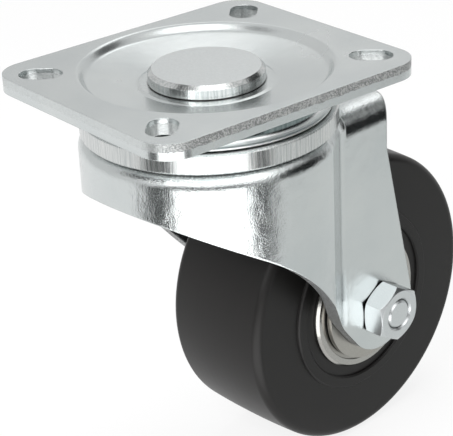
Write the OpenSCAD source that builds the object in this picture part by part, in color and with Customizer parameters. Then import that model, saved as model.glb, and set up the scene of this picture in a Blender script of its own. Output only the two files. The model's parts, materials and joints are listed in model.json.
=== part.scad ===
// Swivel castor with a pressed top plate, a ball-bearing swivel head, a pressed fork
// and a solid plastic wheel on two ball bearings.
// The origin is the centre of the plate's top face, on the swivel axis. The wheel trails towards +X.

/* [Top plate] */
// Length of the plate, along X
plate_length = 100; // [94:1:120]
// Width of the plate, along Y
plate_width = 86; // [82:1:100]
// Thickness of the sheet
plate_thickness = 5; // [4:0.25:5.5]
// Radius of the plate's corners
plate_corner = 10; // [2:0.5:12]
// Distance between the fixing slots, along X
slot_spacing_x = 80; // [78:1:84]
// Distance between the fixing slots, along Y
slot_spacing_y = 60; // [58:1:64]
// Width of a fixing slot
slot_width = 9; // [6:0.5:10]
// Length of a fixing slot
slot_length = 13.5; // [11:0.5:14]
// Angle between a fixing slot and the plate's length
slot_angle = 45; // [35:1:55]
// Radius at which the pressed dish begins
dish_radius = 39.5; // [38.5:0.25:41]
// Depth of the dish just inside its rim
dish_depth = 2.5; // [1.5:0.25:3]

/* [Swivel head] */
// Radius of the kingpin's shank
kingpin_radius = 10; // [8:0.25:11]
// Radius of the kingpin's round head
head_radius = 18; // [15:0.5:19]
// Diameter of the balls in both swivel rows
swivel_ball = 7.94; // [6.5:0.02:8]
// Radius of the upper row of balls
upper_pitch = 30.5; // [30:0.25:31.5]
// Radius of the lower row of balls
lower_pitch = 19.5; // [19:0.25:22]
// Outer radius of the race ring on the fork
race_ring_radius = 39.8; // [39:0.2:40.4]
// Height of the race ring
race_ring_height = 6.4; // [6:0.1:7]
// Clear height between the flat of the plate and the race ring
head_gap = 7.8; // [7.6:0.1:9]

/* [Fork] */
// Thickness of the fork's sheet
fork_thickness = 4.5; // [3.5:0.25:5]
// Radius of the round skirt in front
skirt_radius = 40.6; // [40.4:0.1:43]
// Outer radius of the bend between the crown and the skirt
shoulder_radius = 4.75; // [2:0.25:6]
// Outer radius of the bend between the crown and a leg
leg_shoulder = 8; // [7:0.25:10]
// Angle of the flat that leads from the skirt to a leg
ramp_angle = 35; // [32:1:40]
// Depth that the flat cuts into the round skirt
ramp_inset = 1.1; // [0.8:0.1:1.5]
// Radius of the valley between that flat and the leg
valley_radius = 8; // [4:0.5:10]
// Distance from the swivel axis to the axle
trail = 47; // [45:0.5:52]
// Height from the axle to the plate's top face
axle_drop = 92; // [90:0.5:100]
// Radius of the leg's round end
boss_radius = 15; // [12.5:0.5:18]
// Height of the skirt's wall at its very front
front_height = 14.2; // [12:0.2:18]
// Height of the straight part of the leg's back edge
back_height = 17; // [10:0.5:22]
// Turn of the fork about the swivel axis when it is at rest
swivel_rest = 4.4; // [-45:0.2:45]

/* [Wheel] */
// Diameter of the wheel, at the middle of its crowned tread
wheel_diameter = 100.6; // [96:0.2:104]
// Width of the wheel at its rim
wheel_width = 39.6; // [36:0.2:40.4]
// Drop of the crowned tread from its middle to its edges
tread_crown = 0.5; // [0.2:0.1:1]
// Radius of the tread's edges
tread_edge = 2.8; // [1:0.2:4]
// Length of the hub over the bearings
hub_length = 43.2; // [42.4:0.2:45]
// Outer diameter of a bearing
bearing_outside = 47; // [46.5:0.5:48]
// Bore of a bearing
bearing_bore = 20; // [18:0.5:20.5]
// Width of a bearing
bearing_width = 14; // [13:0.25:15]
// Diameter of the balls in a bearing
bearing_ball = 7.94; // [6.5:0.02:8.2]

/* [Axle] */
// Diameter of the axle bolt
bolt_diameter = 10; // [8:0.5:12]
// Thickness of the washer between a bearing and a leg
washer_thickness = 2.15; // [1.5:0.05:3]
// Distance across the flats of the nut and the bolt's head
nut_flats = 17; // [16:0.5:19]
// Height of the nut
nut_height = 8; // [6:0.25:10]
// Height of the bolt's head
bolt_head_height = 6.4; // [5:0.2:8]
// Angle of the nut's first corner
nut_turn = 31; // [0:1:60]

/* [Fits] */
// Clearance between a ball and its race
ball_clearance = 0.06; // [0.02:0.01:0.1]
// Radial clearance where one piece is pushed onto another
push_clearance = 0.02; // [0.01:0.01:0.05]
// Radial clearance of the bolt in its holes
bolt_clearance = 0.15; // [0.1:0.05:0.3]

/* [Hidden] */
$fn = 96;

// A cut reaches this far past the face it opens
over = 1;
near = -1;
far = 1;

// Colours
zinc = "#b9bfc1";
turned_steel = "#a9abab";
bearing_steel = "#c9c9c6";
brass = "#b59a57";
black_plastic = "#2f2d2c";

// Dish of the plate: an S-shaped rim, then a floor that falls towards the kingpin's seat
rim_run = 3.2;
floor_radius = dish_radius - rim_run;
under_shift = 1;
floor_slope = 0.17;
seat_radius = head_radius + 2.3;
seat_rise = 0.25;
trough_radius = seat_radius + 1.2;
function floor_z(r) = -dish_depth - floor_slope * (floor_radius - r);
seat_z = floor_z(trough_radius) + seat_rise;
function under_z(r) = floor_z(r) - plate_thickness;
plate_bottom = under_z(trough_radius);

// Kingpin
head_sink = 0.3;
head_chamfer = 1.3;
foot_chamfer = 0.4;
rivet_radius = kingpin_radius + 5;
rivet_height = 4.5;
rivet_taper = 0.5;
rivet_chamfer = 3;
rivet_chamfer_height = 1.5;

// Swivel ball rows and their races, from the top down
swivel_ball_radius = swivel_ball / 2;
race_radius = swivel_ball_radius + ball_clearance;
ring_top = -plate_thickness - head_gap;
crown_top = ring_top - race_ring_height;
crown_bottom = crown_top - fork_thickness;
ring_floor = 1.2;
race_opening = 0.8;
upper_ball_z = crown_top + ring_floor + race_radius;
upper_race_radius = upper_pitch + swivel_ball_radius + 1.6;
rim_clearance = 0.6;
rim_chamfer = 1;
race_ring_chamfer = 0.6;
// Flared lip of the upper race, which covers the gap to the race ring
lip_inset = 1.8;
lip_gap = 0.4;
lip_edge = 0.5;
lip_radius = race_ring_radius - lip_inset;
lip_flare = lip_radius - upper_race_radius;
lip_z = ring_top + lip_gap;
race_bore = upper_pitch - swivel_ball_radius - 2.5;
lower_bite = 1.3;
lower_ball_z = crown_bottom + lower_bite - race_radius;
lower_race_radius = lower_pitch + swivel_ball_radius + 2;
lower_race_floor = 2.4;
lower_race_bottom = lower_ball_z - race_radius - lower_race_floor;
ball_gap = 0.3;
function ball_count(pitch, diameter) = floor(180 / asin((diameter + ball_gap) / 2 / pitch));

// Fork
bearing_face = hub_length / 2;
leg_inner = bearing_face + washer_thickness;
leg_outer = leg_inner + fork_thickness;
crown_hole = kingpin_radius + 3;
crown_overhang = 6.5;
crown_end = trail + crown_overhang;
crown_corner = 12;
leg_overhang = 3.1;
leg_end = trail + leg_overhang;
// Radius between the leg's back edge and the crown's overhang
crown_fillet = 3;
// The crown's corner is an arc that ends on the leg's outer face, where the leg ends
crown_corner_y = leg_outer - sqrt(pow(crown_corner, 2) - pow(crown_corner - crown_end + leg_end, 2));
leg_reach = trail + boss_radius + over;
// Height at which the leg's back edge turns towards the boss
leg_back_z = crown_top - back_height;
fork_bottom = -axle_drop - boss_radius - over;
// The valley's round cuts this far into the faces beside it, so the surfaces cross and don't only touch
valley_bite = 0.02;
// The flat's shoulder is this much tighter, so its edges don't run into those of the shoulders beside it
ramp_tightening = 0.05;
valley_reach = valley_radius - valley_bite;
ramp_offset = skirt_radius - ramp_inset;
block_size = 4 * skirt_radius;
valley_y = leg_outer + valley_reach;
valley_x = (ramp_offset + valley_reach - valley_y * cos(ramp_angle)) / sin(ramp_angle);
// The lower edge in side view: a gentle line from the front, a long arc and a steep line to the boss
front_edge_z = crown_top - front_height;
front_edge_angle = -30;
edge_corner_x = 0;
arc_radius = 95;
axle_point = [trail, -axle_drop];

// Wheel
wheel_radius = wheel_diameter / 2;
face_z = wheel_width / 2;
tread_half = face_z - tread_edge;
tread_arc = (pow(tread_half, 2) + pow(tread_crown, 2)) / (2 * tread_crown);
tread_angle = asin(tread_half / tread_arc);
bearing_inside_face = bearing_face - bearing_width;
bearing_radius = bearing_outside / 2;
bearing_stand = 0.8;
hub_end = bearing_face - bearing_stand;
hub_wall = 7.9;
hub_radius = bearing_radius + hub_wall;
recess_wall = 3.8;
recess_radius = bearing_radius + recess_wall;
rim_step = 10;
recess_depth = 1;
edge_chamfer = 0.5;
shoulder_bore = bearing_radius - 3;

// Ball bearing, in its own frame with its middle at z = 0
bearing_half = bearing_width / 2;
bore_radius = bearing_bore / 2;
bearing_ball_radius = bearing_ball / 2;
bearing_race = bearing_ball_radius + ball_clearance;
bearing_pitch = (bearing_radius + bore_radius) / 2;
land_reach = 0.75 * bearing_ball_radius;
outer_land = bearing_pitch + land_reach;
inner_land = bearing_pitch - land_reach;
shield_radius = outer_land + 1;
shield_inner_radius = inner_land + 0.5;
shield_thickness = 0.5;
shield_sink = 0.3;
ring_chamfer = 0.8;
cage_half = bearing_ball_radius + 0.8;
cage_thickness = 1.5;
bearing_ball_count = 8;

// Axle
bolt_radius = bolt_diameter / 2;
tube_radius = bore_radius - push_clearance;
washer_radius = shield_radius - 1.3;
washer_seat = inner_land - 0.5;
washer_relief = 0.4;
sleeve_radius = inner_land - 1;
nut_corner = nut_flats / 2 / cos(30);
nut_face_radius = nut_flats / 2 - 0.3;
nut_chamfer_angle = 30;
nut_countersink = 0.7;
thread_end_chamfer = 0.8;

// Points along an arc, ends included
function arc(centre, radius, from, to, steps = 12) =
    [for (i = [0:steps])
        let (angle = from + (to - from) * i / steps) centre + radius * [cos(angle), sin(angle)]];

// S-shaped run from one point down to another
function s_bend(start, end, steps = 10) =
    [for (i = [0:steps]) [
        start[0] + (end[0] - start[0]) * i / steps,
        start[1] + (end[1] - start[1]) * (1 - cos(180 * i / steps)) / 2
    ]];

// Point where a line from outside touches a circle, on the left of the line for side = 1
function tangent_point(from, centre, radius, side) =
    let (d = centre - from, reach = norm(d), turn = side * acos(radius / reach), back = atan2(-d[1], -d[0]))
    centre + radius * [cos(back + turn), sin(back + turn)];

module in_fork() {
    rotate([0, 0, swivel_rest]) children();
}

// The axle's frame: its z axis runs along the axle, from the near leg to the far one
module on_axle() {
    in_fork() translate([trail, 0, -axle_drop]) rotate([-90, 0, 0]) children();
}

module on_bearing(side) {
    on_axle() translate([0, 0, side * (bearing_face - bearing_half)]) children();
}

module ball_row(count, pitch, radius) {
    for (i = [0:count - 1])
        rotate([0, 0, 360 * i / count]) translate([pitch, 0, 0]) sphere(r = radius);
}

// Ring-shaped groove for a row of balls
module race_groove(pitch, radius) {
    rotate_extrude() translate([pitch, 0]) circle(r = radius);
}

module rounded_rectangle(length, width, corner) {
    square([length - 2 * corner, width], center = true);
    square([length, width - 2 * corner], center = true);
    for (x = [-1, 1], y = [-1, 1])
        translate([x * (length / 2 - corner), y * (width / 2 - corner)]) circle(r = corner);
}

module fixing_slot() {
    run = slot_length - slot_width;
    square([run, slot_width], center = true);
    for (x = [-1, 1]) translate([x * run / 2, 0]) circle(d = slot_width);
}

module top_plate() {
    color(zinc) difference() {
        union() {
            translate([0, 0, -plate_thickness]) linear_extrude(plate_thickness)
                rounded_rectangle(plate_length, plate_width, plate_corner);
            rotate_extrude() polygon(concat(
                [[0, -plate_thickness / 2], [dish_radius + under_shift, -plate_thickness / 2]],
                s_bend([dish_radius + under_shift, -plate_thickness],
                       [floor_radius + under_shift, under_z(floor_radius + under_shift)]),
                [[trough_radius, plate_bottom], [0, plate_bottom]]
            ));
        }
        rotate_extrude() polygon(concat(
            [[0, over], [dish_radius, over]],
            s_bend([dish_radius, 0], [floor_radius, -dish_depth]),
            [[trough_radius, floor_z(trough_radius)], [seat_radius, seat_z], [0, seat_z]]
        ));
        translate([0, 0, plate_bottom - over])
            cylinder(r = kingpin_radius + push_clearance, h = 2 * over - plate_bottom);
        for (x = [-1, 1], y = [-1, 1])
            translate([x * slot_spacing_x / 2, y * slot_spacing_y / 2, -plate_thickness - over])
                linear_extrude(plate_thickness + 2 * over) rotate(x * y * slot_angle) fixing_slot();
    }
}

module kingpin() {
    head_top = -head_sink;
    rivet_bottom = lower_race_bottom - rivet_height;
    color(turned_steel) rotate_extrude() polygon([
        [0, head_top], [head_radius - head_chamfer, head_top], [head_radius, head_top - head_chamfer],
        [head_radius, seat_z + foot_chamfer], [head_radius - foot_chamfer, seat_z],
        [kingpin_radius, seat_z], [kingpin_radius, lower_race_bottom],
        [rivet_radius, lower_race_bottom],
        [rivet_radius - rivet_taper, rivet_bottom + rivet_chamfer_height],
        [rivet_radius - rivet_chamfer, rivet_bottom], [0, rivet_bottom]
    ]);
}

// Hardened ring under the plate, which the upper balls run against
module upper_race() {
    bottom = upper_ball_z + race_opening;
    color(turned_steel) difference() {
        rotate_extrude() polygon(concat(
            [
                [race_bore, under_z(race_bore)], [race_bore, bottom],
                [upper_race_radius, bottom], [upper_race_radius, lip_z], [lip_radius, lip_z]
            ],
            arc([lip_radius, lip_z + lip_edge + lip_flare], lip_flare, 270, 180),
            [[upper_race_radius, under_z(upper_race_radius)]]
        ));
        translate([0, 0, upper_ball_z]) race_groove(upper_pitch, race_radius);
    }
}

// Cup that the kingpin's riveted end holds up against the lower balls
module lower_race() {
    top = lower_ball_z - race_opening;
    color(turned_steel) difference() {
        rotate_extrude() polygon([
            [kingpin_radius + push_clearance, top], [lower_race_radius - edge_chamfer, top],
            [lower_race_radius, top - edge_chamfer],
            [lower_race_radius, lower_race_bottom + 2 * edge_chamfer],
            [lower_race_radius - 2 * edge_chamfer, lower_race_bottom],
            [kingpin_radius + push_clearance, lower_race_bottom]
        ]);
        translate([0, 0, lower_ball_z]) race_groove(lower_pitch, race_radius);
    }
}

module upper_balls() {
    color(bearing_steel) translate([0, 0, upper_ball_z])
        ball_row(ball_count(upper_pitch, swivel_ball), upper_pitch, swivel_ball_radius);
}

module lower_balls() {
    color(bearing_steel) translate([0, 0, lower_ball_z])
        ball_row(ball_count(lower_pitch, swivel_ball), lower_pitch, swivel_ball_radius);
}

// Turned ring on the fork's crown. Its rim stands round the upper race and hides the balls
module race_ring() {
    floor_top = upper_ball_z - race_opening;
    rim_inner = upper_race_radius + rim_clearance;
    color(turned_steel) in_fork() difference() {
        rotate_extrude() polygon([
            [race_bore, crown_top], [race_ring_radius - race_ring_chamfer, crown_top],
            [race_ring_radius, crown_top + race_ring_chamfer],
            [race_ring_radius, ring_top - edge_chamfer], [race_ring_radius - edge_chamfer, ring_top],
            [rim_inner + rim_chamfer, ring_top], [rim_inner, ring_top - rim_chamfer],
            [rim_inner, floor_top], [race_bore, floor_top]
        ]);
        translate([0, 0, upper_ball_z]) race_groove(upper_pitch, race_radius);
    }
}

// Section of a wall that bends into the crown
module shoulder_section(width, radius = shoulder_radius, top = crown_top) {
    height = top - fork_bottom;
    translate([0, fork_bottom]) {
        square([width - radius, height]);
        square([width, height - radius]);
        translate([width - radius, height - radius]) circle(r = radius);
    }
}

// Turns the X axis square to the flat that leads to the near leg
module towards_ramp() {
    rotate([0, 0, ramp_angle - 90]) children();
}

// Block that ends in that flat and reaches past the skirt everywhere else
module behind_ramp() {
    towards_ramp() rotate([90, 0, 0]) linear_extrude(block_size, center = true) {
        shoulder_section(ramp_offset, shoulder_radius - ramp_tightening);
        translate([-block_size, fork_bottom]) square([block_size, crown_top - fork_bottom]);
    }
}

// Filling of the valley between a flat and a leg, left square for the valley's round to cut
module valley_filling(height) {
    linear_extrude(height) polygon([[0, 0], [valley_x, -valley_y], [valley_x, 0]]);
}

// The valley's round, which flares at the top with the shoulder
module valley_round() {
    flare = valley_radius + shoulder_radius;
    straight = crown_top - shoulder_radius - fork_bottom;
    translate([valley_x, -valley_y, 0]) rotate_extrude() difference() {
        translate([0, fork_bottom - over]) square([flare, crown_top - fork_bottom + over]);
        translate([valley_radius, fork_bottom - 2 * over]) square([flare, straight + 2 * over]);
        translate([flare, crown_top - shoulder_radius]) circle(r = shoulder_radius);
    }
}

module fork_outside() {
    intersection() {
        rotate_extrude() shoulder_section(skirt_radius);
        behind_ramp();
        mirror([0, 1, 0]) behind_ramp();
    }
    rotate([90, 0, 90]) linear_extrude(leg_reach) for (side = [0, 1]) mirror([side, 0])
        shoulder_section(leg_outer, leg_shoulder);
    for (side = [0, 1]) mirror([0, side, 0]) difference() {
        translate([0, 0, fork_bottom]) valley_filling(crown_top - fork_bottom);
        valley_round();
    }
}

module fork_hollow() {
    depth = crown_bottom - fork_bottom + over;
    rotate([90, 0, 90]) linear_extrude(leg_reach + over) for (side = [0, 1]) mirror([side, 0])
        shoulder_section(leg_inner, leg_shoulder - fork_thickness, crown_bottom);
    translate([0, 0, fork_bottom - over]) {
        difference() {
            cylinder(r = skirt_radius - fork_thickness, h = depth);
            for (side = [0, 1]) mirror([0, side, 0]) towards_ramp()
                translate([ramp_offset - fork_thickness, -block_size / 2, -over])
                    cube([block_size, block_size, depth + 2 * over]);
        }
        for (side = [0, 1]) mirror([0, side, 0]) difference() {
            valley_filling(depth);
            translate([valley_x, -valley_y, -over])
                cylinder(r = valley_radius + fork_thickness, h = depth + 2 * over);
        }
    }
}

// What stays of the fork in side view
module fork_side() {
    front = [-skirt_radius - over, front_edge_z - over * tan(front_edge_angle)];
    corner = front + (edge_corner_x - front[0]) * [1, tan(front_edge_angle)];
    steep_touch = tangent_point(corner, axle_point, boss_radius, 1);
    steep_angle = atan2(steep_touch[1] - corner[1], steep_touch[0] - corner[0]);
    half_turn = (front_edge_angle - steep_angle) / 2;
    run = arc_radius * tan(half_turn);
    arc_start = corner - run * [cos(front_edge_angle), sin(front_edge_angle)];
    arc_centre = arc_start + arc_radius * [sin(front_edge_angle), -cos(front_edge_angle)];
    leg_corner = [leg_end, leg_back_z];
    back_touch = tangent_point(leg_corner, axle_point, boss_radius, -1);
    polygon(concat(
        [[front[0], crown_top + over], front],
        arc(arc_centre, arc_radius, 90 + front_edge_angle, 90 + steep_angle),
        [steep_touch, axle_point, back_touch, leg_corner],
        arc([leg_end + crown_fillet, crown_bottom - crown_fillet], crown_fillet, 180, 90),
        [[crown_end, crown_bottom], [crown_end, crown_top + over]]
    ));
    translate(axle_point) circle(r = boss_radius);
}

// What the crown's round corner leaves of its square one
module crown_corner_waste() {
    height = fork_thickness + crown_fillet + 2 * over;
    difference() {
        translate([0, -crown_corner - over, 0]) cube([crown_corner + over, crown_corner + over, height]);
        translate([0, 0, -over]) cylinder(r = crown_corner, h = height + 2 * over);
    }
}

// Pressed from one sheet: a round skirt in front that runs into two flat legs
module fork() {
    color(zinc) in_fork() difference() {
        intersection() {
            difference() {
                fork_outside();
                fork_hollow();
            }
            rotate([90, 0, 0]) translate([0, 0, -skirt_radius - over])
                linear_extrude(2 * (skirt_radius + over)) fork_side();
        }
        for (side = [0, 1]) mirror([0, side, 0])
            translate([crown_end - crown_corner, -crown_corner_y, crown_bottom - crown_fillet - over])
                crown_corner_waste();
        translate([0, 0, crown_bottom - over]) cylinder(r = crown_hole, h = fork_thickness + 2 * over);
        translate([0, 0, lower_ball_z]) race_groove(lower_pitch, race_radius);
        translate([trail, 0, -axle_drop]) rotate([90, 0, 0])
            cylinder(r = bolt_radius + bolt_clearance, h = 2 * (leg_outer + over), center = true);
    }
}

// One half of the wheel's section, from the bearing's seat out to the tread.
// The rim's round stops a step short of the tread, whose own arc begins there
function wheel_half() = concat(
    [
        [bearing_radius + push_clearance, bearing_inside_face],
        [bearing_radius + push_clearance, hub_end - recess_depth],
        [recess_radius, hub_end - recess_depth], [recess_radius, hub_end - edge_chamfer],
        [recess_radius + edge_chamfer, hub_end], [hub_radius - edge_chamfer, hub_end],
        [hub_radius, hub_end - edge_chamfer], [hub_radius, face_z],
    ],
    arc([wheel_radius - tread_crown - tread_edge, tread_half], tread_edge, 90, rim_step, 90 / rim_step - 1)
);

module wheel() {
    half = wheel_half();
    last = len(half) - 1;
    color(black_plastic) on_axle() rotate_extrude($fn = 180) polygon(concat(
        [[shoulder_bore, bearing_inside_face]], half,
        arc([wheel_radius - tread_arc, 0], tread_arc, tread_angle, -tread_angle),
        [for (i = [last:-1:0]) [half[i][0], -half[i][1]]],
        [[shoulder_bore, -bearing_inside_face]]
    ));
}

// Outer ring of a bearing, with a seat for a shield at each end
module bearing_outer_ring() {
    seat = bearing_half - shield_sink - shield_thickness;
    difference() {
        rotate_extrude() polygon([
            [outer_land, -seat], [shield_radius, -seat], [shield_radius, -bearing_half],
            [bearing_radius - ring_chamfer, -bearing_half], [bearing_radius, ring_chamfer - bearing_half],
            [bearing_radius, bearing_half - ring_chamfer], [bearing_radius - ring_chamfer, bearing_half],
            [shield_radius, bearing_half], [shield_radius, seat], [outer_land, seat]
        ]);
        race_groove(bearing_pitch, bearing_race);
    }
}

module bearing_inner_ring() {
    difference() {
        cylinder(r = inner_land, h = bearing_width, center = true);
        cylinder(r = bore_radius, h = bearing_width + 2 * over, center = true);
        race_groove(bearing_pitch, bearing_race);
    }
}

module bearing_balls() {
    ball_row(bearing_ball_count, bearing_pitch, bearing_ball_radius);
}

// Ring with a pocket for each ball
module bearing_cage() {
    difference() {
        cylinder(r = bearing_pitch + cage_thickness / 2, h = 2 * cage_half, center = true);
        cylinder(r = bearing_pitch - cage_thickness / 2, h = 2 * cage_half + over, center = true);
        ball_row(bearing_ball_count, bearing_pitch, bearing_race);
    }
}

// Flat pressed ring that closes a bearing. It faces outwards for end = 1
module bearing_shield(end) {
    low = bearing_half - shield_sink - shield_thickness;
    mirror([0, 0, end < 0 ? 1 : 0]) translate([0, 0, low]) difference() {
        cylinder(r = shield_radius - push_clearance, h = shield_thickness);
        translate([0, 0, -over]) cylinder(r = shield_inner_radius, h = shield_thickness + 2 * over);
    }
}

module near_outer_ring() {
    color(bearing_steel) on_bearing(near) bearing_outer_ring();
}

module near_inner_ring() {
    color(bearing_steel) on_bearing(near) bearing_inner_ring();
}

module near_balls() {
    color(bearing_steel) on_bearing(near) bearing_balls();
}

module near_cage() {
    color(brass) on_bearing(near) bearing_cage();
}

module near_outside_shield() {
    color(bearing_steel) on_bearing(near) bearing_shield(near);
}

module near_inside_shield() {
    color(bearing_steel) on_bearing(near) bearing_shield(-near);
}

module far_outer_ring() {
    color(bearing_steel) on_bearing(far) bearing_outer_ring();
}

module far_inner_ring() {
    color(bearing_steel) on_bearing(far) bearing_inner_ring();
}

module far_balls() {
    color(bearing_steel) on_bearing(far) bearing_balls();
}

module far_cage() {
    color(brass) on_bearing(far) bearing_cage();
}

module far_outside_shield() {
    color(bearing_steel) on_bearing(far) bearing_shield(far);
}

module far_inside_shield() {
    color(bearing_steel) on_bearing(far) bearing_shield(-far);
}

// Tube that the bolt clamps between the legs. It carries the bearings
module axle_tube() {
    color(turned_steel) on_axle() difference() {
        cylinder(r = tube_radius, h = 2 * leg_inner, center = true);
        cylinder(r = bolt_radius + bolt_clearance, h = 2 * leg_inner + 2 * over, center = true);
    }
}

// Sleeve that keeps the two inner rings apart
module spacer_sleeve() {
    color(turned_steel) on_axle() difference() {
        cylinder(r = sleeve_radius, h = 2 * bearing_inside_face, center = true);
        cylinder(r = bore_radius, h = 2 * bearing_inside_face + 2 * over, center = true);
    }
}

// Washer between a leg and the inner ring, turned back at its rim to clear the shield
module leg_washer(side) {
    rim = bearing_face + washer_relief;
    on_axle() mirror([0, 0, side < 0 ? 1 : 0]) rotate_extrude() polygon([
        [bore_radius, bearing_face], [washer_seat, bearing_face], [washer_seat, rim],
        [washer_radius, rim], [washer_radius, leg_inner], [bore_radius, leg_inner]
    ]);
}

module near_washer() {
    color(turned_steel) leg_washer(near);
}

module far_washer() {
    color(turned_steel) leg_washer(far);
}

// Hexagon with its corners taken off at both ends, or only at the top
module chamfered_hexagon(height, low_chamfer) {
    reach = nut_corner + over;
    drop = (reach - nut_face_radius) * tan(nut_chamfer_angle);
    intersection() {
        cylinder(r = nut_corner, h = height, $fn = 6);
        rotate_extrude() polygon([
            [0, 0], [low_chamfer ? nut_face_radius : reach, 0], [reach, low_chamfer ? drop : 0],
            [reach, height - drop], [nut_face_radius, height], [0, height]
        ]);
    }
}

// Bolt from the far side. Its end is flush with the nut
module axle_bolt() {
    length = leg_outer + nut_height;
    color(zinc) on_axle() {
        translate([0, 0, leg_outer]) chamfered_hexagon(bolt_head_height, false);
        translate([0, 0, -length]) {
            cylinder(r1 = bolt_radius - thread_end_chamfer, r2 = bolt_radius, h = thread_end_chamfer);
            translate([0, 0, thread_end_chamfer])
                cylinder(r = bolt_radius, h = length + leg_outer + over - thread_end_chamfer);
        }
    }
}

module axle_nut() {
    color(zinc) on_axle() translate([0, 0, -leg_outer]) mirror([0, 0, 1]) difference() {
        rotate([0, 0, -nut_turn]) chamfered_hexagon(nut_height, true);
        translate([0, 0, -over]) cylinder(r = bolt_radius + push_clearance, h = nut_height + 2 * over);
        translate([0, 0, nut_height - nut_countersink])
            cylinder(r1 = bolt_radius, r2 = bolt_radius + nut_countersink + over,
                     h = nut_countersink + over);
    }
}

top_plate();
kingpin();
upper_race();
lower_race();
upper_balls();
lower_balls();
race_ring();
fork();
wheel();
near_outer_ring();
near_inner_ring();
near_balls();
near_cage();
near_outside_shield();
near_inside_shield();
far_outer_ring();
far_inner_ring();
far_balls();
far_cage();
far_outside_shield();
far_inside_shield();
axle_tube();
spacer_sleeve();
near_washer();
far_washer();
axle_bolt();
axle_nut();
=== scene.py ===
"""Looks of a swivel castor: zinc-plated plate and fork, turned swivel head, black wheel on ball bearings."""
import json
import math

import bpy
from mathutils import Matrix, Vector


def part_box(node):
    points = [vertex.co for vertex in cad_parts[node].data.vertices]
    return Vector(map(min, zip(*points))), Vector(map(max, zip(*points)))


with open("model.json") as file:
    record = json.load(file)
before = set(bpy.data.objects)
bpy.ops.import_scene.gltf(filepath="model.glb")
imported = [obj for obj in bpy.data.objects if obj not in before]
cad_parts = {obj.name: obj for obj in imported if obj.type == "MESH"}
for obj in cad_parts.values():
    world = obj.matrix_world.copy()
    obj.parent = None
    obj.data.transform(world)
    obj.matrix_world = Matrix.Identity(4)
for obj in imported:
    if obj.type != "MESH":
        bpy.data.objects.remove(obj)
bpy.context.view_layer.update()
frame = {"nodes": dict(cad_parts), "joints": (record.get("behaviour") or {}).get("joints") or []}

# Top plate. The real one is cut and pressed from 5 mm steel sheet, then plated with bright zinc.
# Its rim is sheared: the blade leaves a smooth band below, and the sheet breaks off rough above it.

MM = 0.001


def linear(hex_colour):
    """The linear colour of an sRGB hex value such as "#c8cccc"."""
    parts = [int(hex_colour[i:i + 2], 16) / 255 for i in (1, 3, 5)]
    return [p / 12.92 if p <= 0.04045 else ((p + 0.055) / 1.055) ** 2.4 for p in parts] + [1]


def add(tree, kind, inputs=None, **settings):
    """Adds a shader node with its settings. Each input takes a value, or the socket that it is linked to."""
    node = tree.nodes.new(kind)
    for name, value in settings.items():
        setattr(node, name, value)
    for name, value in (inputs or {}).items():
        if isinstance(value, bpy.types.NodeSocket):
            tree.links.new(value, node.inputs[name])
        else:
            node.inputs[name].default_value = value
    return node


def per_metre(size_mm):
    """Scale of a pattern whose marks are this many millimetres apart, on coordinates in metres."""
    return 1 / (size_mm * MM)


def new_material(name):
    """An empty node material and its tree."""
    material = bpy.data.materials.new(name)
    material.use_nodes = True
    material.node_tree.nodes.clear()
    return material, material.node_tree


def finish_material(tree, **inputs):
    """Ends a tree in a Principled surface."""
    named = {name.replace("_", " "): value for name, value in inputs.items()}
    surface = add(tree, "ShaderNodeBsdfPrincipled", named)
    add(tree, "ShaderNodeOutputMaterial", {"Surface": surface.outputs["BSDF"]})


def dress(material, *nodes):
    """Gives CAD nodes one material."""
    for name in nodes:
        slots = frame["nodes"][name].data.materials
        slots.clear()
        slots.append(material)


def painted_corner_shade(tree, colour):
    """Darkens a colour in the corners where pieces meet: a painted shade, grey where little light gets in.
    """
    reach = add(tree, "ShaderNodeAmbientOcclusion", {"Distance": 1 * MM}, samples=8)
    unshaded_share = add(tree, "ShaderNodeMapRange", {"Value": reach.outputs["AO"], "From Min": 0.4, "From Max": 0.8})
    mixed = add(tree, "ShaderNodeMix", {
        "Factor": unshaded_share.outputs["Result"], "A": linear("#626160"), "B": colour}, data_type="RGBA")
    return mixed.outputs["Result"]


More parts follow.
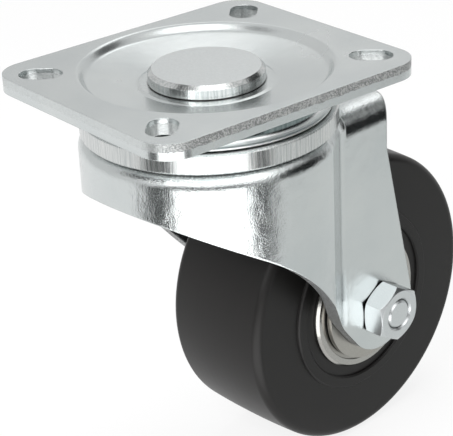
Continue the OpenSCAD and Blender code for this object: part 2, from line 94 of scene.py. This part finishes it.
def zinc_on_sheet(name, bare_faces, broken, grain_height, wave_height, roughness, edge_round):
    """Bright zinc plating on sheet: a clear, slightly blue mirror, broken up by the sheet's grain and waves.
    bare_faces(tree, place) gives two masks: cut faces, which are rough, and inner faces, which are painted a
    dark grey as shade.
    broken holds the dark and the light colour of a cut face. Heights and edge_round are in millimetres.
    The grain of real sheet and the crumbs of a cut are finer than 0.1 mm, and are drawn at 0.45 and
    0.3 mm so that they show."""
    cloud_size, grain_size, wave_size, streak_size, crumb_size = 26, 0.45, 5, 1.2, 0.3
    streak_stretch = (1, 1, 0.03)
    roughness_spread, cut_roughness, cut_metallic, cut_height = 0.05, 0.4, 0.25, 0.05
    streak_height = grain_height / 3
    material, tree = new_material(name)
    place = add(tree, "ShaderNodeTexCoord")
    bare, inner = bare_faces(tree, place)
    cloud = add(tree, "ShaderNodeTexNoise", {
        "Vector": place.outputs["Object"], "Scale": per_metre(cloud_size), "Detail": 3})
    grain = add(tree, "ShaderNodeTexNoise", {
        "Vector": place.outputs["Object"], "Scale": per_metre(grain_size), "Detail": 2, "Roughness": 0.6})
    wave = add(tree, "ShaderNodeTexNoise", {
        "Vector": place.outputs["Object"], "Scale": per_metre(wave_size), "Detail": 2})
    drawn = add(tree, "ShaderNodeVectorMath", {
        0: place.outputs["Object"], 1: streak_stretch}, operation="MULTIPLY")
    streak = add(tree, "ShaderNodeTexNoise", {
        "Vector": drawn.outputs["Vector"], "Scale": per_metre(streak_size), "Detail": 2})
    zinc = add(tree, "ShaderNodeMix", {
        "Factor": cloud.outputs["Fac"], "A": linear("#bfc5c6"), "B": linear("#d6d9d8")}, data_type="RGBA")
    # Inner faces take a dark grey here, a painted shade for the inside of the fork.
    plated = add(tree, "ShaderNodeMix", {
        "Factor": inner, "A": zinc.outputs["Result"], "B": linear("#6a6d6d")}, data_type="RGBA")
    crumb = add(tree, "ShaderNodeTexNoise", {
        "Vector": place.outputs["Object"], "Scale": per_metre(crumb_size), "Detail": 2})
    speck = add(tree, "ShaderNodeMapRange", {
        "Value": crumb.outputs["Fac"], "From Min": 0.4, "From Max": 0.6})
    fracture = add(tree, "ShaderNodeMix", {
        "Factor": speck.outputs["Result"], "A": linear(broken[0]), "B": linear(broken[1])}, data_type="RGBA")
    colour = add(tree, "ShaderNodeMix", {
        "Factor": bare, "A": plated.outputs["Result"], "B": fracture.outputs["Result"]}, data_type="RGBA")
    mirror = add(tree, "ShaderNodeMapRange", {
        "Value": cloud.outputs["Fac"], "To Min": roughness - roughness_spread,
        "To Max": roughness + roughness_spread})
    rough = add(tree, "ShaderNodeMix", {"Factor": bare, "A": mirror.outputs["Result"], "B": cut_roughness})
    metal = add(tree, "ShaderNodeMix", {"Factor": bare, "A": 1, "B": cut_metallic})
    soft_edge = add(tree, "ShaderNodeBevel", {"Radius": edge_round * MM}, samples=8)
    waved = add(tree, "ShaderNodeBump", {
        "Distance": wave_height * MM, "Height": wave.outputs["Fac"], "Normal": soft_edge.outputs["Normal"]})
    streaked = add(tree, "ShaderNodeBump", {
        "Distance": streak_height * MM, "Height": streak.outputs["Fac"],
        "Normal": waved.outputs["Normal"]})
    depth = add(tree, "ShaderNodeMix", {"Factor": bare, "A": grain_height * MM, "B": cut_height * MM})
    grained = add(tree, "ShaderNodeBump", {
        "Distance": depth.outputs["Result"], "Height": grain.outputs["Fac"],
        "Normal": streaked.outputs["Normal"]})
    # The colour gets a painted shade in the corners where pieces meet.
    finish_material(tree, Base_Color=painted_corner_shade(tree, colour.outputs["Result"]),
                    Metallic=metal.outputs["Result"], Roughness=rough.outputs["Result"],
                    Normal=grained.outputs["Normal"])
    return material


def sheared_faces(tree, place):
    """The rough part of the plate's cut faces: the upper part of its rim and the lower part of its slots.
    The rim's two short sides are the edges of the strip that the plate was cut from, nearly smooth."""
    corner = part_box("top_plate")[1]
    inside_rim = (corner.x - 3.5 * MM, corner.y - 5 * MM, 1)
    steepest = 0.3
    break_depth, break_waviness, slot_break_rise = -3.2 * MM, 1.2 * MM, 1.1 * MM
    short_side_share, slot_share = 0.2, 0.5
    spread = add(tree, "ShaderNodeVectorMath", {
        0: place.outputs["Object"], 1: inside_rim}, operation="DIVIDE")
    spread = add(tree, "ShaderNodeVectorMath", {0: spread.outputs["Vector"]}, operation="ABSOLUTE")
    spread = add(tree, "ShaderNodeSeparateXYZ", {"Vector": spread.outputs["Vector"]})
    widest = add(tree, "ShaderNodeMath", {
        0: spread.outputs["X"], 1: spread.outputs["Y"]}, operation="MAXIMUM")
    rim = add(tree, "ShaderNodeMath", {0: widest.outputs["Value"], 1: 1}, operation="GREATER_THAN")
    facing = add(tree, "ShaderNodeVectorMath", {0: place.outputs["Normal"]}, operation="ABSOLUTE")
    facing = add(tree, "ShaderNodeSeparateXYZ", {"Vector": facing.outputs["Vector"]})
    upright = add(tree, "ShaderNodeMath", {0: facing.outputs["Z"], 1: steepest}, operation="LESS_THAN")
    point = add(tree, "ShaderNodeSeparateXYZ", {"Vector": place.outputs["Object"]})
    ragged = add(tree, "ShaderNodeTexNoise", {
        "Vector": place.outputs["Object"], "Scale": per_metre(1.5), "Detail": 2})
    line = add(tree, "ShaderNodeMath", {
        0: ragged.outputs["Fac"], 1: break_waviness, 2: break_depth}, operation="MULTIPLY_ADD")
    above = add(tree, "ShaderNodeMath", {
        0: point.outputs["Z"], 1: line.outputs["Value"]}, operation="GREATER_THAN")
    punched = add(tree, "ShaderNodeMath", {
        0: line.outputs["Value"], 1: slot_break_rise}, operation="ADD")
    below = add(tree, "ShaderNodeMath", {
        0: point.outputs["Z"], 1: punched.outputs["Value"]}, operation="LESS_THAN")
    sheared = add(tree, "ShaderNodeMapRange", {
        "Value": facing.outputs["Y"], "To Min": short_side_share, "To Max": 1})
    rim_part = add(tree, "ShaderNodeMath", {
        0: above.outputs["Value"], 1: sheared.outputs["Result"]}, operation="MULTIPLY")
    slot_part = add(tree, "ShaderNodeMath", {
        0: below.outputs["Value"], 1: slot_share}, operation="MULTIPLY")
    part = add(tree, "ShaderNodeMix", {
        "Factor": rim.outputs["Value"], "A": slot_part.outputs["Value"], "B": rim_part.outputs["Value"]})
    rough = add(tree, "ShaderNodeMath", {
        0: upright.outputs["Value"], 1: part.outputs["Result"]}, operation="MULTIPLY")
    return rough.outputs["Value"], 0


# The plate is fine-grained and flat, so it shows a soft, even sheen.
dress(zinc_on_sheet("zinc_plated_plate", sheared_faces, broken=("#5e6161", "#bfc1c0"), grain_height=0.012,
                    wave_height=0.05, roughness=0.26, edge_round=0.35), "top_plate")

# Kingpin and swivel races. They are turned from steel bar and plated, and the kingpin is riveted over below.
# Its head shows a flat grey top, left as it was forged, and a bright turned side and chamfer.
# The upper race's wall is painted a dark greenish grey as the shade below the plate, and its flared lip
# nearly white as a painted highlight.


def level_end(tree, place):
    """The level end of a turned piece, where its normal points up."""
    nearly_up = 0.9
    normal = add(tree, "ShaderNodeSeparateXYZ", {"Vector": place.outputs["Normal"]})
    end = add(tree, "ShaderNodeMath", {0: normal.outputs["Z"], 1: nearly_up}, operation="GREATER_THAN")
    return end.outputs["Value"]


def flared_lip(tree, place):
    """The lip of the upper race, which stands out past its wall."""
    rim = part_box("upper_race")[1].x
    wall_edge, lip_edge = rim - 1.93 * MM, rim - 1.75 * MM
    across = add(tree, "ShaderNodeVectorMath", {
        0: place.outputs["Object"], 1: (1, 1, 0)}, operation="MULTIPLY")
    radius = add(tree, "ShaderNodeVectorMath", {0: across.outputs["Vector"]}, operation="LENGTH")
    lip = add(tree, "ShaderNodeMapRange", {
        "Value": radius.outputs["Value"], "From Min": wall_edge, "From Max": lip_edge})
    return lip.outputs["Result"]


def turned_steel(name, end_faces=level_end, end_roughness=0.3, side_roughness=(0.12, 0.26),
                 side_colours=("#b9bdbd", "#d0d2d1"), end_colours=("#b9bdbd", "#d0d2d1")):
    """Turned and plated steel: bright round the axis, with marks along it, and another finish on its ends.
    end_faces(tree, place) gives the mask of those ends.
    Tool marks of about 0.1 mm are drawn 0.6 mm apart so that they show."""
    grain_size, mark_size, edge_round, mark_height = 0.5, 0.6, 0.3, 0.05
    mark_stretch = (1, 1, 0.04)
    material, tree = new_material(name)
    place = add(tree, "ShaderNodeTexCoord")
    end = end_faces(tree, place)
    grain = add(tree, "ShaderNodeTexNoise", {
        "Vector": place.outputs["Object"], "Scale": per_metre(grain_size), "Detail": 3})
    stretched = add(tree, "ShaderNodeVectorMath", {
        0: place.outputs["Object"], 1: mark_stretch}, operation="MULTIPLY")
    scratch = add(tree, "ShaderNodeTexNoise", {
        "Vector": stretched.outputs["Vector"], "Scale": per_metre(mark_size), "Detail": 2})
    mark = add(tree, "ShaderNodeMapRange", {
        "Value": scratch.outputs["Fac"], "From Min": 0.35, "From Max": 0.6})
    side_colour = add(tree, "ShaderNodeMix", {
        "Factor": mark.outputs["Result"], "A": linear(side_colours[0]), "B": linear(side_colours[1])},
        data_type="RGBA")
    end_colour = add(tree, "ShaderNodeMix", {
        "Factor": grain.outputs["Fac"], "A": linear(end_colours[0]), "B": linear(end_colours[1])},
        data_type="RGBA")
    colour = add(tree, "ShaderNodeMix", {
        "Factor": end, "A": side_colour.outputs["Result"], "B": end_colour.outputs["Result"]},
        data_type="RGBA")
    side_finish = add(tree, "ShaderNodeMapRange", {
        "Value": scratch.outputs["Fac"], "To Min": side_roughness[0], "To Max": side_roughness[1]})
    rough = add(tree, "ShaderNodeMix", {
        "Factor": end, "A": side_finish.outputs["Result"], "B": end_roughness})
    soft_edge = add(tree, "ShaderNodeBevel", {"Radius": edge_round * MM}, samples=4)
    scored = add(tree, "ShaderNodeBump", {
        "Strength": 0.4, "Distance": mark_height * MM, "Height": scratch.outputs["Fac"],
        "Normal": soft_edge.outputs["Normal"]})
    grained = add(tree, "ShaderNodeBump", {
        "Strength": 0.12, "Distance": mark_height * MM, "Height": grain.outputs["Fac"],
        "Normal": scored.outputs["Normal"]})
    finish_material(tree, Base_Color=colour.outputs["Result"], Metallic=1, Roughness=rough.outputs["Result"],
                    Normal=grained.outputs["Normal"])
    return material


# A dull forged top beside a bright turned side.
dress(turned_steel("forged_kingpin_steel", end_roughness=0.42, end_colours=("#c0c4c4", "#d6d9d9")),
      "kingpin")
# A satin ring, whose marks show as fine upright lines.
dress(turned_steel("turned_race_steel", side_roughness=(0.2, 0.32)), "race_ring")
# A wall painted dark as the shade below the plate, with a painted highlight in nearly white along its lip.
dress(turned_steel("race_steel_painted_shade_and_highlight", end_faces=flared_lip, end_roughness=0.28,
                   side_colours=("#6b7878", "#869191"), end_colours=("#e6e8e8", "#f4f5f5")),
      "upper_race", "lower_race")

# Swivel balls. Ground and polished bearing steel, loose in two rows between the races.
# They carry the load from the plate to the fork, and the race ring and the lip above it hide most of them.


def ground_steel(name, hex_low, hex_high, roughness):
    """Ground bearing steel: a neutral mirror with very fine lines, drawn at 0.4 mm so that they show."""
    line_size, line_height, edge_round = 0.4, 0.03, 0.25
    material, tree = new_material(name)
    place = add(tree, "ShaderNodeTexCoord")
    grain = add(tree, "ShaderNodeTexNoise", {
        "Vector": place.outputs["Object"], "Scale": per_metre(line_size), "Detail": 2})
    colour = add(tree, "ShaderNodeMix", {
        "Factor": grain.outputs["Fac"], "A": linear(hex_low), "B": linear(hex_high)}, data_type="RGBA")
    soft_edge = add(tree, "ShaderNodeBevel", {"Radius": edge_round * MM}, samples=4)
    fine = add(tree, "ShaderNodeBump", {
        "Strength": 0.05, "Distance": line_height * MM, "Height": grain.outputs["Fac"],
        "Normal": soft_edge.outputs["Normal"]})
    # The colour gets a painted shade in the corners where pieces meet.
    finish_material(tree, Base_Color=painted_corner_shade(tree, colour.outputs["Result"]), Metallic=1,
                    Roughness=roughness, Normal=fine.outputs["Normal"])
    return material


bearing_steel = ground_steel("ground_bearing_steel", "#9c9b97", "#b8b7b3", roughness=0.16)
dress(bearing_steel, "upper_balls", "lower_balls")

# Fork. One piece of 4.5 mm sheet, drawn into a round skirt with two legs, and plated like the plate.
# Its lower and back edges were cut, so they are duller than its faces.


def cut_and_inner_faces(tree, place):
    """The fork's cut edges, which lie square to its legs and look down or back, and its inner faces,
    which are painted a dark grey as the shade inside the fork."""
    square_limit, down_limit, back_limit, inner_limit = 0.04, -0.03, 0.3, -10 * MM
    spin = next(joint for joint in frame["joints"] if joint["name"] == "wheel_spin")
    across = Vector(spin["axis"])
    back = Vector((across.y, -across.x, 0))
    normal = place.outputs["Normal"]
    sideways = add(tree, "ShaderNodeVectorMath", {0: normal, 1: across}, operation="DOT_PRODUCT")
    size = add(tree, "ShaderNodeMath", {0: sideways.outputs["Value"]}, operation="ABSOLUTE")
    square = add(tree, "ShaderNodeMath", {
        0: size.outputs["Value"], 1: square_limit}, operation="LESS_THAN")
    rise = add(tree, "ShaderNodeSeparateXYZ", {"Vector": normal})
    down = add(tree, "ShaderNodeMath", {0: rise.outputs["Z"], 1: down_limit}, operation="LESS_THAN")
    backward = add(tree, "ShaderNodeVectorMath", {0: normal, 1: back}, operation="DOT_PRODUCT")
    trailing = add(tree, "ShaderNodeMath", {
        0: backward.outputs["Value"], 1: back_limit}, operation="GREATER_THAN")
    outline = add(tree, "ShaderNodeMath", {
        0: down.outputs["Value"], 1: trailing.outputs["Value"]}, operation="MAXIMUM")
    cut = add(tree, "ShaderNodeMath", {
        0: square.outputs["Value"], 1: outline.outputs["Value"]}, operation="MULTIPLY")
    # Faces that look in towards the swivel axis get the painted shade.
    level = add(tree, "ShaderNodeVectorMath", {
        0: place.outputs["Object"], 1: (1, 1, 0)}, operation="MULTIPLY")
    outward = add(tree, "ShaderNodeVectorMath", {
        0: normal, 1: level.outputs["Vector"]}, operation="DOT_PRODUCT")
    inner = add(tree, "ShaderNodeMath", {
        0: outward.outputs["Value"], 1: inner_limit}, operation="LESS_THAN")
    return cut.outputs["Value"], inner.outputs["Value"]


# Drawing stretches the sheet, so the fork is brighter than the plate, and its grain breaks up reflections.
dress(zinc_on_sheet("zinc_plated_fork", cut_and_inner_faces, broken=("#2c2d2e", "#a8aaaa"),
                    grain_height=0.075, wave_height=0.2, roughness=0.18, edge_round=0.8), "fork")

# Axle tube and spacer sleeve. Both are cut from steel tube. The bolt clamps the axle tube between the legs,
# and the sleeve keeps the inner rings of the bearings apart on it.

dress(turned_steel("cut_tube_steel"), "axle_tube", "spacer_sleeve")

# Bearings. Each has two ground rings, balls in a pressed cage and two thin pressed shields.
# They are pushed into the wheel from both sides, and their inner rings sit on the axle tube.

dress(bearing_steel, "near_outer_ring", "near_inner_ring", "near_balls",
      "far_outer_ring", "far_inner_ring", "far_balls")
# Pressed sheet is darker and duller than the ground rings around it.
pressed_steel = ground_steel("pressed_shield_steel", "#8f8d88", "#a9a7a2", roughness=0.32)
dress(pressed_steel, "near_outside_shield", "near_inside_shield", "far_outside_shield", "far_inside_shield",
      "near_cage", "far_cage")

# Washers. Steel discs, turned and left bare, between the bearings and the legs.
# Each is turned back at its rim, so that it bears on the inner ring alone and clears the shield.

# Bare steel has a warm grey satin.
dress(ground_steel("turned_washer_steel", "#9a9892", "#b4b2ac", roughness=0.28), "near_washer", "far_washer")

# Wheel. Turned from a block of black polyamide, with a satin surface and rounded rims.
# The bearings sit in a bore on each side, behind a shallow recess in the hub.


def black_polyamide(name):
    """Turned black polyamide: a dark satin that lightens at a low angle.
    Its faint tool marks are drawn at 0.5 mm so that they show."""
    mark_size, cloud_size, mark_height, edge_round = 0.5, 18, 0.05, 0.4
    material, tree = new_material(name)
    place = add(tree, "ShaderNodeTexCoord")
    grain = add(tree, "ShaderNodeTexNoise", {
        "Vector": place.outputs["Object"], "Scale": per_metre(mark_size), "Detail": 2})
    cloud = add(tree, "ShaderNodeTexNoise", {
        "Vector": place.outputs["Object"], "Scale": per_metre(cloud_size), "Detail": 2})
    colour = add(tree, "ShaderNodeMix", {
        "Factor": cloud.outputs["Fac"], "A": linear("#131211"), "B": linear("#1a1817")}, data_type="RGBA")
    rough = add(tree, "ShaderNodeMapRange", {
        "Value": cloud.outputs["Fac"], "To Min": 0.36, "To Max": 0.44})
    soft_edge = add(tree, "ShaderNodeBevel", {"Radius": edge_round * MM}, samples=4)
    fine = add(tree, "ShaderNodeBump", {
        "Strength": 0.05, "Distance": mark_height * MM, "Height": grain.outputs["Fac"],
        "Normal": soft_edge.outputs["Normal"]})
    finish_material(tree, Base_Color=colour.outputs["Result"], Roughness=rough.outputs["Result"], IOR=1.53,
                    Specular_IOR_Level=0.25, Normal=fine.outputs["Normal"])
    return material


dress(black_polyamide("black_polyamide"), "wheel")

# Axle bolt and nut. Cold formed from steel wire and plated with bright zinc.
# The bolt runs through both legs and the axle tube, and the nut clamps them together.

# Bright zinc on formed steel: pale flats with a soft sheen.
dress(ground_steel("zinc_plated_fastener", "#c4c9cb", "#d9dcdc", roughness=0.32), "axle_bolt", "axle_nut")

# Camera. It stands where the photograph was taken from: above the plate, in front of the fork's near leg.
# Its place and lens were fitted to the outlines of the plate, the head and the wheel.

PHOTO_WIDTH = 453
FOCAL_PIXELS = 1713.55
SENSOR_WIDTH = 36
azimuth, elevation, roll = (math.radians(a) for a in (-38.46, 25.37, -2.71))
offset_right, offset_up, distance = -6.11 * MM, 46.35 * MM, 517.3 * MM
right = Vector((math.cos(azimuth), math.sin(azimuth), 0))
ahead = Vector((-math.sin(azimuth), math.cos(azimuth), 0))
back = math.sin(elevation) * Vector((0, 0, 1)) - math.cos(elevation) * ahead
up = back.cross(right)
right, up = (math.cos(roll) * right + math.sin(roll) * up, math.cos(roll) * up - math.sin(roll) * right)
lens = bpy.data.cameras.new("camera")
lens.sensor_width = SENSOR_WIDTH
lens.lens = FOCAL_PIXELS / PHOTO_WIDTH * SENSOR_WIDTH
lens.clip_start = 0.01
camera = bpy.data.objects.new("camera", lens)
camera.matrix_world = Matrix.Translation(back * distance - right * offset_right - up * offset_up) @ Matrix(
    (right, up, back)).transposed().to_4x4()
bpy.context.scene.collection.objects.link(camera)
bpy.context.scene.camera = camera

# Floor. A wide sheet of matt white paper that the castor's wheel stands on.
# It is lit to the white of the background, and keeps the castor's shadow.


def flat_sheet(name, corners, material):
    """A flat four-cornered sheet that belongs to the studio."""
    mesh = bpy.data.meshes.new(name)
    mesh.from_pydata(corners, [], [range(4)])
    mesh.materials.append(material)
    sheet = bpy.data.objects.new(name, mesh)
    bpy.context.scene.collection.objects.link(sheet)
    return sheet


def seen_directly(tree):
    """1 where the camera, a reflection or a clear piece looks, and 0 for light that falls on the castor."""
    path = add(tree, "ShaderNodeLightPath")
    seen = add(tree, "ShaderNodeMath", {
        0: path.outputs["Is Camera Ray"], 1: path.outputs["Is Glossy Ray"]}, operation="MAXIMUM")
    seen = add(tree, "ShaderNodeMath", {
        0: seen.outputs["Value"], 1: path.outputs["Is Transmission Ray"]}, operation="MAXIMUM")
    return seen.outputs["Value"]


def white_paper(name):
    """Matt white paper, lit to a full white that still takes a faint shadow."""
    lit_share = 0.85
    material, tree = new_material(name)
    share = add(tree, "ShaderNodeMath", {0: seen_directly(tree), 1: lit_share}, operation="MULTIPLY")
    paper = add(tree, "ShaderNodeBsdfDiffuse", {"Color": linear("#f2f2f2")})
    glow = add(tree, "ShaderNodeEmission", {"Color": linear("#ffffff"), "Strength": 1})
    mixed = add(tree, "ShaderNodeMixShader", {
        0: share.outputs["Value"], 1: paper.outputs["BSDF"], 2: glow.outputs["Emission"]})
    add(tree, "ShaderNodeOutputMaterial", {"Surface": mixed.outputs["Shader"]})
    return material


floor_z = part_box("wheel")[0].z
half_side = 3
flat_sheet("floor", [(-half_side, -half_side, floor_z), (half_side, -half_side, floor_z),
                     (half_side, half_side, floor_z), (-half_side, half_side, floor_z)],
           white_paper("white_paper"))

# Studio light. A bright room, a large softbox on the left of the camera and one above,
# with dark and white cards that show only as reflections in the metal.

world = bpy.data.worlds.new("studio")
bpy.context.scene.world = world
world.use_nodes = True
world.node_tree.nodes.clear()
room_light, room_white = 0.6, 1
level = add(world.node_tree, "ShaderNodeMapRange", {
    "Value": seen_directly(world.node_tree), "To Min": room_light, "To Max": room_white})
sky = add(world.node_tree, "ShaderNodeBackground", {"Strength": level.outputs["Result"]})
add(world.node_tree, "ShaderNodeOutputWorld", {"Surface": sky.outputs["Background"]})

camera_azimuth = math.atan2(back.y, back.x)
middle = Vector((0, 0, -0.04))


def softbox(name, turn, rise, distance, width, height, watts):
    """A soft lamp, turned from the camera to its right and raised above the castor, in degrees.
    Its distance and sides are in metres."""
    towards = camera_azimuth + math.radians(turn)
    lift = math.radians(rise)
    direction = Vector((math.cos(lift) * math.cos(towards), math.cos(lift) * math.sin(towards),
                        math.sin(lift)))
    data = bpy.data.lights.new(name, "AREA")
    data.shape = "RECTANGLE"
    data.size, data.size_y, data.energy = width, height, watts
    lamp = bpy.data.objects.new(name, data)
    lamp.location = middle + direction * distance
    lamp.rotation_euler = direction.to_track_quat("Z", "Y").to_euler()
    bpy.context.scene.collection.objects.link(lamp)
    return lamp


softbox("softbox_left", turn=-35, rise=40, distance=0.9, width=0.5, height=0.5, watts=6)
# The lamp above is kept out of reflections, because from above the plate would show nothing else.
top_lamp = softbox("softbox_top", turn=150, rise=70, distance=0.9, width=0.7, height=0.5, watts=5)
top_lamp.visible_glossy = False


def spot(turn, distance, height):
    """A point in the studio: degrees to the camera's right, metres from the swivel axis and metres above
    the floor."""
    towards = camera_azimuth + math.radians(turn)
    return distance * math.cos(towards), distance * math.sin(towards), floor_z + height


def card(name, corners, hex_colour, strength):
    """A card that only reflections see."""
    material, tree = new_material(name)
    paint = add(tree, "ShaderNodeEmission", {"Color": linear(hex_colour), "Strength": strength})
    add(tree, "ShaderNodeOutputMaterial", {"Surface": paint.outputs["Emission"]})
    sheet = flat_sheet(name, corners, material)
    sheet.visible_camera = sheet.visible_diffuse = sheet.visible_shadow = sheet.visible_transmission = False


def lying_card(name, turns, distances, hex_colour, strength):
    """A card on the floor, between two turns and two distances."""
    lift = 0.002
    near, far = distances
    left, right = turns
    card(name, [spot(left, near, lift), spot(right, near, lift), spot(right, far, lift),
                spot(left, far, lift)], hex_colour, strength)


def standing_card(name, turns, distance, heights, hex_colour, strength):
    """An upright card, between two turns and two heights."""
    low, high = heights
    left, right = turns
    card(name, [spot(left, distance, low), spot(right, distance, low), spot(right, distance, high),
                spot(left, distance, high)], hex_colour, strength)


# On the floor: the white front of the skirt and the ring, and the greys beside it.
lying_card("white_front_card", (-45, 45), (0.06, 0.7), "#ffffff", 2.8)
lying_card("white_left_card", (-125, -85), (0.29, 0.6), "#ffffff", 1.05)
lying_card("grey_right_card", (55, 135), (0.06, 0.6), "#e6e8e7", 1)
# Low down: the dark bands on the skirt, and the dark lines of its shoulder and of the leg's bend.
standing_card("dark_left_card", (-54, -28), 0.17, (0.004, 0.115), "#4a4c4c", 1)
standing_card("dark_right_card", (29, 48), 0.17, (0.004, 0.1), "#303232", 1)
standing_card("dark_room_card", (-35, 35), 0.8, (0.04, 0.19), "#3a3c3c", 1)
standing_card("dark_wall_card", (52, 110), 0.6, (0.0, 0.4), "#202222", 1)
# Higher up: the dark marks on the kingpin's chamfer and the dish.
standing_card("dark_upper_left_card", (-82, -36), 0.4, (0.28, 0.8), "#343636", 1)
standing_card("dark_upper_right_card", (98, 132), 0.6, (0.36, 0.66), "#343636", 1)
# Behind and above: the greys of the plate, and the white line along the shoulder.
standing_card("grey_back_card", (186, 235), 0.8, (0.3, 0.8), "#ffffff", 0.75)
standing_card("white_high_card", (130, 186), 0.7, (0.62, 1.1), "#ffffff", 1.9)
card("front_softbox_card", [spot(-30, 0.75, 0.29), spot(62, 0.75, 0.29), spot(62, 0.25, 0.9),
                            spot(-30, 0.25, 0.9)], "#ffffff", 2.2)
card("grey_top_card", [spot(45, 0.6, 1.3), spot(135, 0.6, 1.3), spot(225, 0.6, 1.3), spot(315, 0.6, 1.3)],
     "#ffffff", 0.85)

bpy.context.scene.view_settings.view_transform = "Standard"
